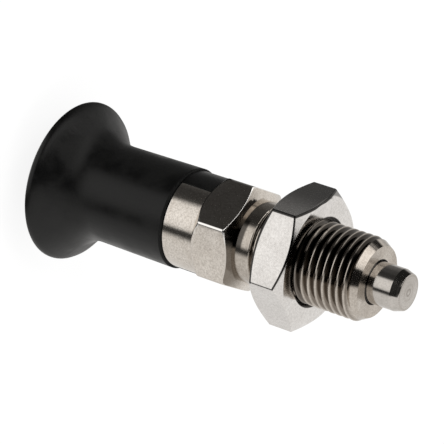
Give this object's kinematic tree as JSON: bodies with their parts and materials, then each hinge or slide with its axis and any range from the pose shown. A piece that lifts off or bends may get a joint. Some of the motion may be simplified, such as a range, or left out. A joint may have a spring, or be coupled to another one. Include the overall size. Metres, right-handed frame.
{
  "type": "indexing plunger",
  "caption": "Indexing plunger with a threaded sleeve, lock nut, spring-loaded pin and a mushroom grip that can be parked in a rest position with the pin drawn in.",
  "frame": {"origin": "on the plunger's axis, at the flat end of the mushroom grip", "axes": "+Z along the axis from the grip towards the pin's tip; the slot of the rest position runs along X; the pin is out, as at rest"},
  "size_m": [0.0314, 0.0314, 0.0757],
  "materials": {
    "sleeve_steel": "turned stainless steel",
    "nut_steel": "plain stainless steel",
    "pin_steel": "ground stainless steel",
    "spring_wire": "drawn stainless wire",
    "grip_plastic": "satin black"
  },
  "bodies": {
    "sleeve": {"guide_sleeve": "sleeve_steel", "pressure_spring": "spring_wire"},
    "pull": {"indexing_pin": "pin_steel", "mushroom_grip": "grip_plastic"},
    "nut": {"lock_nut": "nut_steel"}
  },
  "joints": [
    {"name": "pull_slide", "type": "slide", "parent": "sleeve", "child": "pull", "axis": [0, 0, -1], "range_m": [0, 0.007], "stiffness_N_per_m": 2200, "springref_m": -0.0045, "deforming": ["pressure_spring"]},
    {"name": "nut_travel", "type": "slide", "parent": "sleeve", "child": "nut", "axis": [0, 0, 1], "range_m": [-0.003, 0.0125]}
  ]
}
